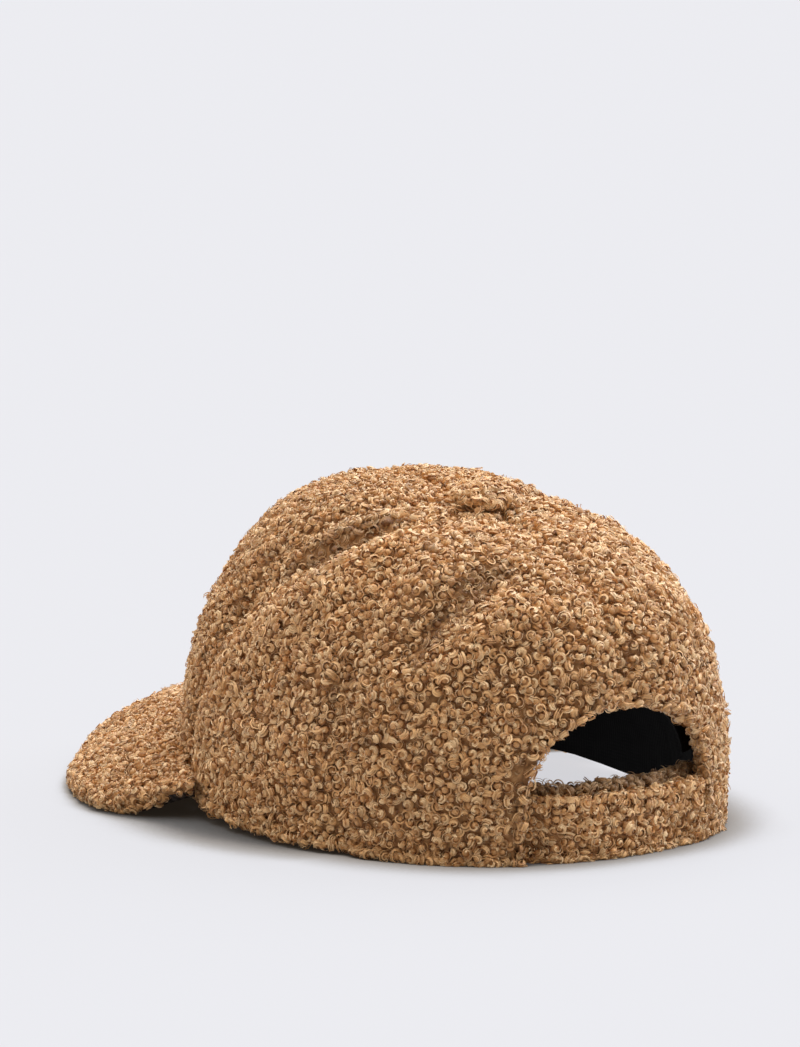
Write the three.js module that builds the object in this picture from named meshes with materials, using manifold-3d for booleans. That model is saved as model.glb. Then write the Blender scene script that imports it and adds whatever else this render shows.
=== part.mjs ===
// A baseball cap of curly pile cloth, standing on a table by itself: six crown panels, a covered button,
// a curved peak, a black lining that shows through the half-moon gap at the back, and a strap of two layers.
// Millimetres, +Z up, +X to the wearer's left, the peak towards -Y, the table at Z = 0.
import * as THREE from "three";
import { mergeVertices } from "three/addons/utils/BufferGeometryUtils.js";
import Module from "manifold-3d";

const wasm = await Module();
wasm.setup();

// Driving dimensions. Azimuths are degrees from the front, above zero on the wearer's left.
// Rise runs from 0 at the crown's lower edge to 1 at the button's seat.
const gap = 0.4; // between neighbouring pieces

const crown = {
  halfLength: 104, // over the pile
  halfWidth: 86,
  planPower: 2.1, // 2 is an ellipse, more is squarer
  height: 107.5, // table to the button's seat
  topSetback: 20, // of the button's seat behind the lower edge's centre
  topSetbackPower: 2.2,
  frontLift: 0.188, // slope of the top, up to the front
  shoulder: 3.7, // more makes a flatter top
  bulge: 0.014,
  bulgeRise: 0.625, // the walls bulge below this rise
  wall: 6, // cloth and pile
  tipRadius: 5, // the panels end this far from the middle of the top
};

// How upright the wall stays on its way up.
const fullness = { front: 2.4, side: 1.5, back: 3.05 };

// Height of the crown's lower edge above the table.
const edgeTable = [
  { azimuth: 0, left: 23, right: 23 },
  { azimuth: 30, left: 18.6, right: 18.6 },
  { azimuth: 45, left: 14, right: 11.5 },
  { azimuth: 58, left: 9, right: 5.8 },
  { azimuth: 71, left: 5.4, right: 4.4 },
  { azimuth: 84, left: 3.7, right: 2.7 },
  { azimuth: 100, left: 2.3, right: 1.3 },
  { azimuth: 120, left: 2.4, right: 0.8 },
  { azimuth: 140, left: 0.7, right: 0.4 },
  { azimuth: 152, left: 0, right: 0 },
  { azimuth: 180, left: 0, right: 0 },
];

// The seams lean a little on their way up from the edge to the button.
const seams = {
  front: { edge: 0, top: 0 },
  temple: { edge: 60, top: 66 },
  side: { edge: 123, top: 115 },
  back: { edge: 180, top: 180 },
};
const seamGroove = { depth: 2.2, width: 4.5 };

// Folds of the soft cloth, each along a line. A hollow has a depth above zero, a ridge below.
const foldTable = [
  { fold: "temple dip", az1: 96, rise1: 0.968, az2: 80, rise2: 0.86, width: 7.5, left: 6, right: 1.4 },
  { fold: "temple crease", az1: 76, rise1: 0.8, az2: 65, rise2: 0.6, width: 6.5, left: 3.4, right: 1.2 },
  { fold: "side ridge", az1: 109, rise1: 0.95, az2: 86, rise2: 0.6, width: 8, left: -3.2, right: -1.2 },
  { fold: "back hollow", az1: 149, rise1: 0.93, az2: 134, rise2: 0.73, width: 8, left: 5, right: 2 },
  { fold: "back ridge", az1: 158, rise1: 0.85, az2: 136, rise2: 0.67, width: 8, left: -3, right: -1.4 },
];
const foldOnBack = 0.5; // share of a fold that shows on the inside of the wall

const opening = { toLeft: 35, toRight: 39, springHeight: 16, topHeight: 50.5, power: 2.2 };

const lining = {
  thickness: 1,
  clearance: 4.4, // behind the panels, so that it passes their folds
  setback: 1, // its lower edge above the crown's
  strapRoom: { halfWidth: 56, height: 28 }, // cut away round the strap's ends
};

const button = { radius: 11.5, height: 7.2, edge: 2.4, shankRadius: 3.8, shankLength: 4.5 };

const strapReach = 28; // azimuth from the back's middle to each hidden end
const strapTuck = { from: 14, to: 19.5 }; // between these azimuths a layer goes under the panel's edge
const strapJoin = { inset: 0.5, room: 0.8 }; // the outer layer's right end, flush with the panel there
const strapOuter = { bottom: 0, top: 21.5, thickness: 5, inset: 2.4 };
const strapLayerStep = strapOuter.thickness + 0.8; // from one layer's face to the next one's
const strapInner = { bottom: 1.5, top: 24.5, thickness: 4.5, inset: strapOuter.inset + strapLayerStep };

const peak = {
  halfWidth: 107.5,
  frontReach: 167, // from the crown's centre
  widestAt: 58.7, // ahead of the crown's centre
  backReach: 64, // of the outline's curve behind its widest place
  outlinePower: 1.76,
  outlineEnd: 123, // turn of the outline at each end
  endAzimuth: 68, // where each end meets the crown
  thickness: 9.6,
  endThickness: 6.5,
  endPower: 6, // more keeps the full thickness nearer to the ends
  edgeRadius: 4,
  edgeShare: 0.6, // the rounded rim takes no more than this share of a short section
  camber: 3, // swell of the top between crown and outer edge
};

// Height of the top of the peak's outer edge, by the share of the way from the middle to an end.
const peakEdgeTable = [
  { share: 0, left: 18, right: 18 },
  { share: 0.18, left: 16.5, right: 16.5 },
  { share: 0.29, left: 13.7, right: 13.7 },
  { share: 0.42, left: 7.8, right: 10.6 },
  { share: 0.6, left: 7.8, right: 10.6 },
  { share: 0.8, left: 7.8, right: 11.2 },
  { share: 0.9, left: 10.3, right: 13 },
  { share: 1, left: 14, right: 15 },
];

// Points along and around each piece.
const panelSteps = { across: 16, outside: 24, inside: 13 };
const liningSteps = { around: 36, up: 11 };
const peakSteps = { along: 36, top: 9, edge: 4, bottom: 6 };
const strapSteps = 16;
const openingSteps = 20;
const buttonSteps = { around: 20, dome: 7 };

const pileCloth = new THREE.MeshStandardMaterial({ color: 0xa87b4f, roughness: 0.95, metalness: 0 });
const liningCloth = new THREE.MeshStandardMaterial({ color: 0x0d0b0a, roughness: 0.8, metalness: 0 });

const { degToRad, radToDeg, lerp, clamp, euclideanModulo } = THREE.MathUtils;
const whole = 360;
const half = 180;

// Solids from points

// A value read between a table's rows, with no kink at the rows.
function readTable(table, key, value, at) {
  const next = clamp(table.findIndex((row) => row[key] >= at), 1, table.length - 1);
  const [a, b] = [table[next - 1], table[next]];
  const span = b[key] - a[key];
  const slopeAt = (i) => {
    const [before, after] = [table[i - 1], table[i + 1]];
    return before && after ? (after[value] - before[value]) / (after[key] - before[key]) : 0;
  };
  const t = (at - a[key]) / span;
  const rest = 1 - t;
  const easeIn = a[value] * (1 + 2 * t) * rest * rest + slopeAt(next - 1) * span * t * rest * rest;
  return easeIn + b[value] * (3 - 2 * t) * t * t - slopeAt(next) * span * rest * t * t;
}

function closedGeometry(points, index) {
  const geometry = new THREE.BufferGeometry().setFromPoints(points);
  geometry.setIndex(index);
  return geometry;
}

// A skin over loops of equal length, one loop for each section. The first frontCount points of a loop run
// along one face and the others come back along the other, so a ladder between the two closes each end.
function loft(loops, frontCount) {
  const size = loops[0].length;
  const last = (loops.length - 1) * size;
  const index = [];
  for (let start = 0; start < last; start += size) {
    for (let j = 0; j < size; j++) {
      const a = start + j;
      const b = start + ((j + 1) % size);
      index.push(a, a + size, b + size, a, b + size, b);
    }
  }
  const frontSteps = frontCount - 1;
  const backSteps = size - frontCount - 1;
  let front = 0;
  let back = 0;
  while (front < frontSteps || back < backSteps) {
    const alongFront = back === backSteps || (front < frontSteps && front * backSteps <= back * frontSteps);
    const a = front;
    const b = size - 1 - back;
    if (alongFront) front++;
    else back++;
    const c = alongFront ? front : size - 1 - back;
    index.push(a, c, b, last + a, last + b, last + c);
  }
  return closedGeometry(loops.flat(), index);
}

// A bowl turned over: rings from its lower edge up on both faces, each face closed at its own top.
function bowl(outside, inside, outsideTop, insideTop) {
  const around = outside[0].length;
  const points = [...outside.flat(), outsideTop, ...inside.flat(), insideTop];
  const innerStart = outside.flat().length + 1;
  const index = [];
  for (let j = 0; j < around; j++) {
    const next = (j + 1) % around;
    for (const start of [0, innerStart]) {
      const quad = (a, b, c, d) => (start ? index.push(a, c, b, a, d, c) : index.push(a, b, c, a, c, d));
      for (let i = 0; i + 1 < outside.length; i++) {
        const row = start + i * around;
        quad(row + j, row + next, row + around + next, row + around + j);
      }
      const top = start + outside.length * around;
      const ring = top - around;
      if (start) index.push(ring + next, ring + j, top);
      else index.push(ring + j, ring + next, top);
    }
    index.push(next, j, innerStart + j, next, innerStart + j, innerStart + next);
  }
  return closedGeometry(points, index);
}

// The closed mesh as a solid for cutting, with its faces turned outwards.
function solidOf(geometry) {
  const bare = mergeVertices(geometry.deleteAttribute("normal").deleteAttribute("uv"));
  const vertProperties = new Float32Array(bare.getAttribute("position").array);
  const triVerts = new Uint32Array(bare.getIndex().array);
  const corner = (i) => new THREE.Vector3().fromArray(vertProperties, triVerts[i] * 3);
  let volume = 0;
  for (let i = 0; i < triVerts.length; i += 3) volume += corner(i).dot(corner(i + 1).cross(corner(i + 2)));
  if (volume < 0) triVerts.reverse();
  return new wasm.Manifold(new wasm.Mesh({ numProp: 3, vertProperties, triVerts }));
}

function geometryOf(solid) {
  const mesh = solid.getMesh();
  const geometry = new THREE.BufferGeometry();
  geometry.setAttribute("position", new THREE.BufferAttribute(mesh.vertProperties, 3));
  geometry.setIndex(new THREE.BufferAttribute(mesh.triVerts, 1));
  geometry.computeVertexNormals();
  return geometry;
}

const signedPower = (value, power) => Math.sign(value) * Math.abs(value) ** power;
const shares = (count) => Array.from({ length: count + 1 }, (_, i) => i / count);

// The crown's form

function edgeHeight(azimuth) {
  const turned = euclideanModulo(azimuth + half, whole) - half;
  return Math.max(0, readTable(edgeTable, "azimuth", turned < 0 ? "right" : "left", Math.abs(turned)));
}

function planRadius(azimuth) {
  const across = Math.abs(Math.sin(degToRad(azimuth)) / crown.halfWidth) ** crown.planPower;
  const along = Math.abs(Math.cos(degToRad(azimuth)) / crown.halfLength) ** crown.planPower;
  return (across + along) ** (-1 / crown.planPower);
}

function fullnessAt(azimuth) {
  const facing = Math.cos(degToRad(azimuth));
  return lerp(fullness.side, facing > 0 ? fullness.front : fullness.back, facing * facing);
}

// Distance of the outer face from the crown's upright axis.
function reachAt(azimuth, rise) {
  const bulge = 1 + crown.bulge * Math.sin(Math.PI * Math.min(rise / crown.bulgeRise, 1));
  const narrowing = Math.max(0, 1 - rise ** fullnessAt(azimuth)) ** (1 / crown.shoulder);
  return planRadius(azimuth) * narrowing * bulge;
}

// A point of the outer face before seams and folds.
function smoothPoint(azimuth, rise) {
  const reach = reachAt(azimuth, rise);
  const ahead = reach * Math.cos(degToRad(azimuth));
  return new THREE.Vector3(
    reach * Math.sin(degToRad(azimuth)),
    crown.topSetback * rise ** crown.topSetbackPower - ahead,
    lerp(edgeHeight(azimuth), crown.height, rise) + crown.frontLift * ahead * rise,
  );
}

// Even steps of climb run nearly evenly over the top, where the rise hardly changes.
const climbPower = 4;
const riseOf = (climb) => 1 - (1 - climb) ** climbPower;
const climbOf = (rise) => 1 - (1 - rise) ** (1 / climbPower);

function smoothNormal(azimuth, rise) {
  const step = { azimuth: 0.5, climb: 0.004 };
  const climb = clamp(climbOf(rise), step.climb, 1 - 2 * step.climb);
  const around = smoothPoint(azimuth + step.azimuth, rise).sub(smoothPoint(azimuth - step.azimuth, rise));
  const above = smoothPoint(azimuth, riseOf(climb + step.climb));
  const below = smoothPoint(azimuth, riseOf(climb - step.climb));
  return around.cross(above.sub(below)).normalize();
}

const folds = foldTable.flatMap((row) =>
  [1, -1].map((side) => ({
    width: row.width,
    depth: side > 0 ? row.left : row.right,
    line: new THREE.Line3(
      smoothPoint(side * row.az1, row.rise1),
      smoothPoint(side * row.az2, row.rise2),
    ),
  })),
);

function foldDepth(point) {
  const nearest = new THREE.Vector3();
  return folds.reduce((sum, { line, width, depth }) => {
    line.closestPointToPoint(point, true, nearest);
    return sum + depth * Math.exp(-((point.distanceTo(nearest) / width) ** 2));
  }, 0);
}

// A point at a depth below the smooth outer face, with its share of the folds.
function clothPoint(azimuth, rise, depth, foldShare) {
  const point = smoothPoint(azimuth, rise);
  const sink = depth + (foldShare ? foldShare * foldDepth(point) : 0);
  return point.addScaledVector(smoothNormal(azimuth, rise), -sink);
}

// The rises of evenly spaced points up the crown at one azimuth, from one rise to the panels' tip.
function evenRises(azimuth, count, fromRise = 0) {
  const fineSteps = 160;
  const tipShare = (crown.tipRadius / planRadius(azimuth)) ** crown.shoulder;
  const tipRise = (1 - tipShare) ** (1 / fullnessAt(azimuth));
  const rises = shares(fineSteps).map((share) => riseOf(lerp(climbOf(fromRise), climbOf(tipRise), share)));
  const lengths = [0];
  for (let i = 1; i <= fineSteps; i++) {
    const step = smoothPoint(azimuth, rises[i]).distanceTo(smoothPoint(azimuth, rises[i - 1]));
    lengths.push(lengths[i - 1] + step);
  }
  return shares(count - 1).map((share) => {
    const target = share * lengths[fineSteps];
    const i = Math.max(1, lengths.findIndex((length) => length >= target));
    return lerp(rises[i - 1], rises[i], (target - lengths[i - 1]) / (lengths[i] - lengths[i - 1]));
  });
}

// The rise at which the smooth outer face reaches a height above the table.
function riseAtHeight(azimuth, height) {
  const halvings = 30;
  let [low, high] = [0, crown.bulgeRise];
  for (let i = 0; i < halvings; i++) {
    const middle = (low + high) / 2;
    if (smoothPoint(azimuth, middle).z < height) low = middle;
    else high = middle;
  }
  return low;
}

// Pieces

// One crown panel between two seams, with a groove in the pile along both.
function crownPanel(from, to) {
  const loops = shares(panelSteps.across).map((share) => {
    const across = (1 - Math.cos(Math.PI * share)) / 2;
    const place = (rise) => {
      const start = lerp(from.edge, from.top, rise);
      const end = lerp(to.edge, to.top, rise);
      const reach = reachAt(lerp(start, end, across), rise);
      const trim = radToDeg(gap / 2 / reach);
      const azimuth = lerp(start + trim, end - trim, across);
      const toSeam = degToRad(Math.min(azimuth - start, end - azimuth)) * reach;
      return { azimuth, groove: seamGroove.depth * Math.exp(-((toSeam / seamGroove.width) ** 2)) };
    };
    const middle = lerp(from.edge, to.edge, across);
    const outside = evenRises(middle, panelSteps.outside).map((rise) => {
      const { azimuth, groove } = place(rise);
      return clothPoint(azimuth, rise, groove, 1);
    });
    const inside = evenRises(middle, panelSteps.inside).map((rise) =>
      clothPoint(place(rise).azimuth, rise, crown.wall, foldOnBack),
    );
    outside[0].z = inside[0].z = edgeHeight(place(0).azimuth);
    return [...outside, ...inside.reverse()];
  });
  return solidOf(loft(loops, panelSteps.outside));
}

// The half-moon gap at the back, as a block that goes out through the wall.
function backGap() {
  const { toLeft, toRight, springHeight, topHeight, power } = opening;
  const outline = shares(openingSteps).map((share) => {
    const turn = Math.PI * share;
    const reach = Math.cos(turn) > 0 ? toLeft : toRight;
    return new THREE.Vector2(
      reach * signedPower(Math.cos(turn), 2 / power),
      springHeight + (topHeight - springHeight) * signedPower(Math.sin(turn), 2 / power),
    );
  });
  return blockAcross([...outline, new THREE.Vector2(-toRight, -gap), new THREE.Vector2(toLeft, -gap)]);
}

// An outline seen from the back, as a block through the back of the crown.
function blockAcross(outline) {
  const depth = crown.halfLength;
  const block = new THREE.ExtrudeGeometry(new THREE.Shape(outline), { depth, steps: 1, bevelEnabled: false });
  block.rotateX(Math.PI / 2);
  block.translate(0, depth + crown.halfLength / 2, 0);
  return solidOf(block);
}

function liningBowl() {
  const rings = (depth) => {
    const columns = shares(liningSteps.around).slice(0, -1).map((share) => {
      const azimuth = lerp(-half, half, share);
      const lowest = riseAtHeight(azimuth, edgeHeight(azimuth) + lining.setback);
      const rises = evenRises(azimuth, liningSteps.up, lowest);
      return rises.map((rise) => clothPoint(azimuth, rise, depth, 0));
    });
    return columns[0].map((_, i) => columns.map((column) => column[i]));
  };
  const top = (depth) => new THREE.Vector3(0, crown.topSetback, crown.height - depth);
  const outer = crown.wall + lining.clearance;
  const inner = outer + lining.thickness;
  return solidOf(bowl(rings(outer), rings(inner), top(outer), top(inner)));
}

function strapRoom() {
  const { halfWidth, height } = lining.strapRoom;
  return blockAcross([
    new THREE.Vector2(-halfWidth, -gap),
    new THREE.Vector2(halfWidth, -gap),
    new THREE.Vector2(halfWidth, height),
    new THREE.Vector2(-halfWidth, height),
  ]);
}

// One layer of the strap. It follows the crown's curve, and each end has an inset of its own.
function strapLayer({ bottom, top, thickness, inset }, leftInset, rightInset) {
  const softEdge = 1.4;
  const loops = shares(strapSteps).map((share) => {
    const fromMiddle = lerp(-strapReach, strapReach, share);
    const azimuth = half + fromMiddle;
    const tuck = THREE.MathUtils.smoothstep(Math.abs(fromMiddle), strapTuck.from, strapTuck.to);
    const face = lerp(inset, fromMiddle < 0 ? leftInset : rightInset, tuck);
    const place = (height, depth) => {
      const rise = riseAtHeight(azimuth, height);
      const point = smoothPoint(azimuth, rise);
      const inward = smoothNormal(azimuth, rise).setZ(0).normalize();
      return point.addScaledVector(inward, -depth).setZ(height);
    };
    return [
      place(bottom, face),
      place(top - softEdge, face),
      place(top, face + softEdge),
      place(top, face + thickness - softEdge),
      place(top - softEdge, face + thickness),
      place(bottom, face + thickness),
    ];
  });
  return solidOf(loft(loops, loops[0].length / 2));
}

// The peak, lofted from the foot of the crown's front out to its rounded rim.
function peakSolid() {
  const loops = shares(peakSteps.along).map((along) => {
    const share = lerp(-1, 1, along);
    const turn = degToRad(share * peak.outlineEnd);
    const forward = Math.cos(turn) > 0 ? peak.frontReach - peak.widestAt : peak.backReach;
    const rim = new THREE.Vector2(
      peak.halfWidth * signedPower(Math.sin(turn), 2 / peak.outlinePower),
      -peak.widestAt - forward * signedPower(Math.cos(turn), 2 / peak.outlinePower),
    );
    const azimuth = share * peak.endAzimuth;
    const footAt = (height) => {
      const foot = clothPoint(azimuth, riseAtHeight(azimuth, height), -gap, 0);
      return new THREE.Vector2(foot.x, foot.y);
    };
    const thickness = lerp(peak.thickness, peak.endThickness, share ** peak.endPower);
    const footBottom = edgeHeight(azimuth);
    const rimTop = readTable(peakEdgeTable, "share", share < 0 ? "right" : "left", Math.abs(share));
    const swell = peak.camber * (1 - share * share);
    const topAt = (u) => lerp(footBottom + thickness, rimTop, u) + swell * 4 * u * (1 - u);
    const bottomAt = (u) => Math.max(0, topAt(u) - thickness);
    const outward = rim.clone().sub(footAt(footBottom)).normalize();
    const edgeRadius = Math.min(peak.edgeRadius, rim.distanceTo(footAt(footBottom)) * peak.edgeShare);
    const shoulder = rim.clone().addScaledVector(outward, -edgeRadius);
    const at = (u, height) => {
      const place = footAt(u === 0 ? height : footBottom).lerp(shoulder, u);
      return new THREE.Vector3(place.x, place.y, height);
    };
    const top = shares(peakSteps.top - 1).map((u) => at(u, topAt(u)));
    const bottom = shares(peakSteps.bottom - 1).map((u) => at(1 - u, bottomAt(1 - u)));
    const middle = (topAt(1) + bottomAt(1)) / 2;
    const halfThick = (topAt(1) - bottomAt(1)) / 2;
    const edge = shares(peakSteps.edge + 1).slice(1, -1).map((s) => {
      const angle = Math.PI * (0.5 - s);
      const place = shoulder.clone().addScaledVector(outward, edgeRadius * Math.cos(angle));
      return new THREE.Vector3(place.x, place.y, middle + halfThick * Math.sin(angle));
    });
    return [...top, ...edge, ...bottom];
  });
  return solidOf(loft(loops, peakSteps.top + peakSteps.edge / 2));
}

// The covered button, with a shank between the panels' tips.
function buttonGeometry() {
  const { radius, height, edge, shankRadius, shankLength } = button;
  const dome = shares(buttonSteps.dome).map((share) => {
    const turn = (Math.PI / 2) * share;
    return new THREE.Vector2(radius * Math.cos(turn), edge + (height - edge) * Math.sin(turn));
  });
  dome[dome.length - 1].x = 0;
  const profile = [
    new THREE.Vector2(0, -shankLength),
    new THREE.Vector2(shankRadius, -shankLength),
    new THREE.Vector2(shankRadius, gap),
    new THREE.Vector2(radius - edge / 2, gap),
    ...dome,
  ];
  const geometry = new THREE.LatheGeometry(profile, buttonSteps.around);
  return geometry.rotateX(Math.PI / 2);
}

// The cap

const cap = new THREE.Group();
cap.name = "cap";

function addPiece(name, geometry, material) {
  const mesh = new THREE.Mesh(geometry, material);
  mesh.name = name;
  cap.add(mesh);
  return mesh;
}

const opposite = ({ edge, top }) => ({ edge: -edge, top: -top });
const gapBlock = backGap();

const panels = [
  ["crown_front_left", seams.front, seams.temple],
  ["crown_front_right", opposite(seams.temple), seams.front],
  ["crown_side_left", seams.temple, seams.side],
  ["crown_side_right", opposite(seams.side), opposite(seams.temple)],
  ["crown_back_left", seams.side, seams.back],
  ["crown_back_right", opposite(seams.back), opposite(seams.side)],
];
for (const [name, from, to] of panels) {
  const panel = crownPanel(from, to);
  const reachesGap = from === seams.side || to.edge === -seams.side.edge;
  addPiece(name, geometryOf(reachesGap ? panel.subtract(gapBlock) : panel), pileCloth);
}

const cutLining = liningBowl().subtract(gapBlock).subtract(strapRoom());
addPiece("lining", geometryOf(cutLining), liningCloth);

const tuckedOuter = crown.wall + gap;
const tuckedInner = tuckedOuter + strapLayerStep;
const outerLayer = strapLayer(strapOuter, tuckedOuter, strapJoin.inset);
const joinedLayer = outerLayer.trimByPlane([1, 0, 0], strapJoin.room - opening.toRight);
addPiece("strap_outer", geometryOf(joinedLayer), pileCloth);
addPiece("strap_inner", geometryOf(strapLayer(strapInner, tuckedInner, strapInner.inset)), pileCloth);
addPiece("peak", geometryOf(peakSolid()), pileCloth);

const buttonMesh = addPiece("button", buttonGeometry(), pileCloth);
buttonMesh.position.set(0, crown.topSetback, crown.height);
buttonMesh.rotation.x = -Math.atan(crown.frontLift);

const box = new THREE.Box3().setFromObject(cap);
cap.position.set(0, -(box.min.y + box.max.y) / 2, -box.min.z);

export default cap;
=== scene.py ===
import math
import bpy
import numpy as np
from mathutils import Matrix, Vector


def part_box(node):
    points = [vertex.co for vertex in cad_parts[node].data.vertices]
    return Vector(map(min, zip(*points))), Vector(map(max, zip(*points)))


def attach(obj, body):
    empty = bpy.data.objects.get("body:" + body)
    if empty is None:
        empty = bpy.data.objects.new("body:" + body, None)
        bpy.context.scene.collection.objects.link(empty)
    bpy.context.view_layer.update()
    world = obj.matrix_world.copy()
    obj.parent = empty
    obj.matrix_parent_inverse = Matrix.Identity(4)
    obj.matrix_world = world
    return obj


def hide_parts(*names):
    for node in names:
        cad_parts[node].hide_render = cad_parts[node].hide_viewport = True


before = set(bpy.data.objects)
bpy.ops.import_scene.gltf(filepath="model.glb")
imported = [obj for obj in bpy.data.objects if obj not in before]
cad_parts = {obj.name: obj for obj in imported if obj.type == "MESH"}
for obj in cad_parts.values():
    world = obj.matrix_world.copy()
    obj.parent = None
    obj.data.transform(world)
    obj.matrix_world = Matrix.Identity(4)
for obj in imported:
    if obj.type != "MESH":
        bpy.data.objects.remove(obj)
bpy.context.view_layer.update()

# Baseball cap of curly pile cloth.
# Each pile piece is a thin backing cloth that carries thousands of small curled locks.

mm = 0.001
up = np.array([0.0, 0.0, 1.0])
level = (1, 1, 0)              # keeps a direction's level part
insideHeight = 45.0            # mm, of a point well inside the crown
crownLow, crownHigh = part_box("lining")
crownMiddle = np.array([0.0, (crownLow[1] + crownHigh[1]) / 2 / mm, insideHeight])
buttonLow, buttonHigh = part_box("button")
buttonMiddle = (np.array(buttonLow) + np.array(buttonHigh)) / 2 / mm
buttonRadius = (buttonHigh[0] - buttonLow[0]) / 2 / mm


# small vector helpers, all on arrays of rows

def unit(rows):
    return rows / np.maximum(np.linalg.norm(rows, axis=-1, keepdims=True), 1e-9)


def easeIn(share):
    share = np.clip(share, 0, 1)
    return share * share * (3 - 2 * share)


def randomAcross(normals, rng):  # a random direction square to each normal
    return unit(np.cross(normals, unit(rng.normal(size=normals.shape))))


def pointRound(axis, side, other, lift, turn):  # directions lifted towards an axis and turned round it
    return (axis * np.sin(lift)[..., None]
            + side * (np.cos(lift) * np.cos(turn))[..., None]
            + other * (np.cos(lift) * np.sin(turn))[..., None])


# reading the frame

weldsPerMm = 500  # corners closer than about 1/500 mm become one


def readNode(name):  # welded corners in mm, and triangles
    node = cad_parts[name]
    mesh = node.data
    mesh.calc_loop_triangles()
    corners = np.empty(len(mesh.vertices) * 3)
    mesh.vertices.foreach_get("co", corners)
    place = np.array(node.matrix_world)
    corners = (corners.reshape(-1, 3) @ place[:3, :3].T + place[:3, 3]) / mm
    triangles = np.empty(len(mesh.loop_triangles) * 3, dtype=np.int64)
    mesh.loop_triangles.foreach_get("vertices", triangles)
    _, first, back = np.unique(np.round(corners * weldsPerMm).astype(np.int64), axis=0,
                               return_index=True, return_inverse=True)
    triangles = back.reshape(-1)[triangles].reshape(-1, 3)
    alive = (triangles[:, 0] != triangles[:, 1]) & (triangles[:, 1] != triangles[:, 2])
    alive &= triangles[:, 0] != triangles[:, 2]
    return corners[first], triangles[alive]


def faceFacts(corners, triangles):  # middle, normal and area of each triangle
    a, b, c = (corners[triangles[:, k]] for k in range(3))
    cross = np.cross(b - a, c - a)
    size = np.linalg.norm(cross, axis=1)
    return (a + b + c) / 3, cross / np.maximum(size, 1e-9)[:, None], size / 2


def cornerNormals(corners, triangles, chosen):  # smooth normals from the chosen faces alone
    _, normals, areas = faceFacts(corners, triangles)
    sums = np.zeros_like(corners)
    for k in range(3):
        np.add.at(sums, triangles[chosen, k], normals[chosen] * areas[chosen, None])
    return unit(sums)


def edgesOf(triangles):
    edges = np.concatenate([triangles[:, [0, 1]], triangles[:, [1, 2]], triangles[:, [2, 0]]])
    return np.sort(edges, axis=1)


def rimOf(triangles):  # edges that belong to one triangle only
    edges, count = np.unique(edgesOf(triangles), axis=0, return_counts=True)
    return edges[count == 1]


def nearest(places, edges, corners):  # mm from each place to the nearest of the edges
    distance = np.full(len(places), 1e9)
    for a, b in corners[edges]:
        way = b - a
        share = np.clip((places - a) @ way / max(way @ way, 1e-9), 0, 1)
        distance = np.minimum(distance, np.linalg.norm(places - a - share[:, None] * way, axis=1))
    return distance


# which faces of a piece carry pile

pileFaces = {                  # least part of a face's normal that points each way
    "crownOutward": 0.35,
    "crownUp": -0.8,
    "peakOutward": 0.2,
    "peakUp": 0.3,
    "peakRimUp": -0.72,
    "strapOutward": 0.3,
    "strapUp": 0.3,
    "innerStrapUp": -0.5,
    "underneath": -0.7,        # faces that look further down than this are undersides
    "buttonFoot": 4.0,         # height of the button's bare foot, mm
}
gapEdge = {                    # where the cut edge of the half-moon gap lies, mm
    "mostBackward": 0.05,      # its faces hardly look forward or back
    "halfWidth": 40,
    "fromMiddleSeam": 1.5,
    "fromCrownMiddle": 60,
    "lowest": 1,
    "highest": 52,
}


def lookOutward(middles, normals, keep=(1, 1, 1)):  # how squarely faces look away from the crown's middle
    return np.sum(unit((middles - crownMiddle) * keep) * normals, axis=1)


def crownFaces(middles, normals):
    outward = lookOutward(middles, normals)
    return (outward > pileFaces["crownOutward"]) & (normals[:, 2] > pileFaces["crownUp"])


def gapEdgeFaces(middles, normals):
    reach = np.linalg.norm((middles - crownMiddle)[:, :2], axis=1)
    aside = np.abs(middles[:, 0])
    edge = (np.abs(normals[:, 1]) < gapEdge["mostBackward"]) & (reach > gapEdge["fromCrownMiddle"])
    edge &= (aside < gapEdge["halfWidth"]) & (aside > gapEdge["fromMiddleSeam"])
    return edge & (middles[:, 2] < gapEdge["highest"]) & (middles[:, 2] > gapEdge["lowest"])


def backCrownFaces(middles, normals):
    return crownFaces(middles, normals) | gapEdgeFaces(middles, normals)


def peakFaces(middles, normals):
    rim = lookOutward(middles, normals, level) > pileFaces["peakOutward"]
    return (normals[:, 2] > pileFaces["peakUp"]) | (rim & (normals[:, 2] > pileFaces["peakRimUp"]))


def strapFaces(middles, normals):
    outward = lookOutward(middles, normals, level)
    return (outward > pileFaces["strapOutward"]) | (normals[:, 2] > pileFaces["strapUp"])


def innerStrapFaces(middles, normals):
    return normals[:, 2] > pileFaces["innerStrapUp"]


def buttonFaces(middles, normals):
    return middles[:, 2] > buttonLow[2] / mm + pileFaces["buttonFoot"]


def underneath(corners, triangles):  # marks the corners of a piece's underside
    _, normals, _ = faceFacts(corners, triangles)
    under = np.zeros(len(corners), dtype=bool)
    under[triangles[normals[:, 2] < pileFaces["underneath"]].reshape(-1)] = True
    return under


# materials

def newMaterial(name):
    material = bpy.data.materials.new(name)
    material.use_nodes = True
    nodes = material.node_tree.nodes
    return material, nodes, material.node_tree.links, nodes["Principled BSDF"]


def attribute(nodes, name):
    node = nodes.new("ShaderNodeAttribute")
    node.attribute_name = name
    return node


def ramp(nodes, stops):  # the two end stops first, then any between them
    node = nodes.new("ShaderNodeValToRGB")
    node.color_ramp.interpolation = "EASE"
    for i, (place, colour) in enumerate(stops):
        stop = node.color_ramp.elements[i] if i < 2 else node.color_ramp.elements.new(place)
        stop.position = place
        stop.color = (*colour, 1)
    return node


def multiply(nodes, links, first, second):  # one colour times another
    node = nodes.new("ShaderNodeMix")
    node.data_type = "RGBA"
    node.blend_type = "MULTIPLY"
    node.inputs[0].default_value = 1.0
    links.new(first, node.inputs[6])   # colour A
    links.new(second, node.inputs[7])  # colour B
    return node.outputs[2]


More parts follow.
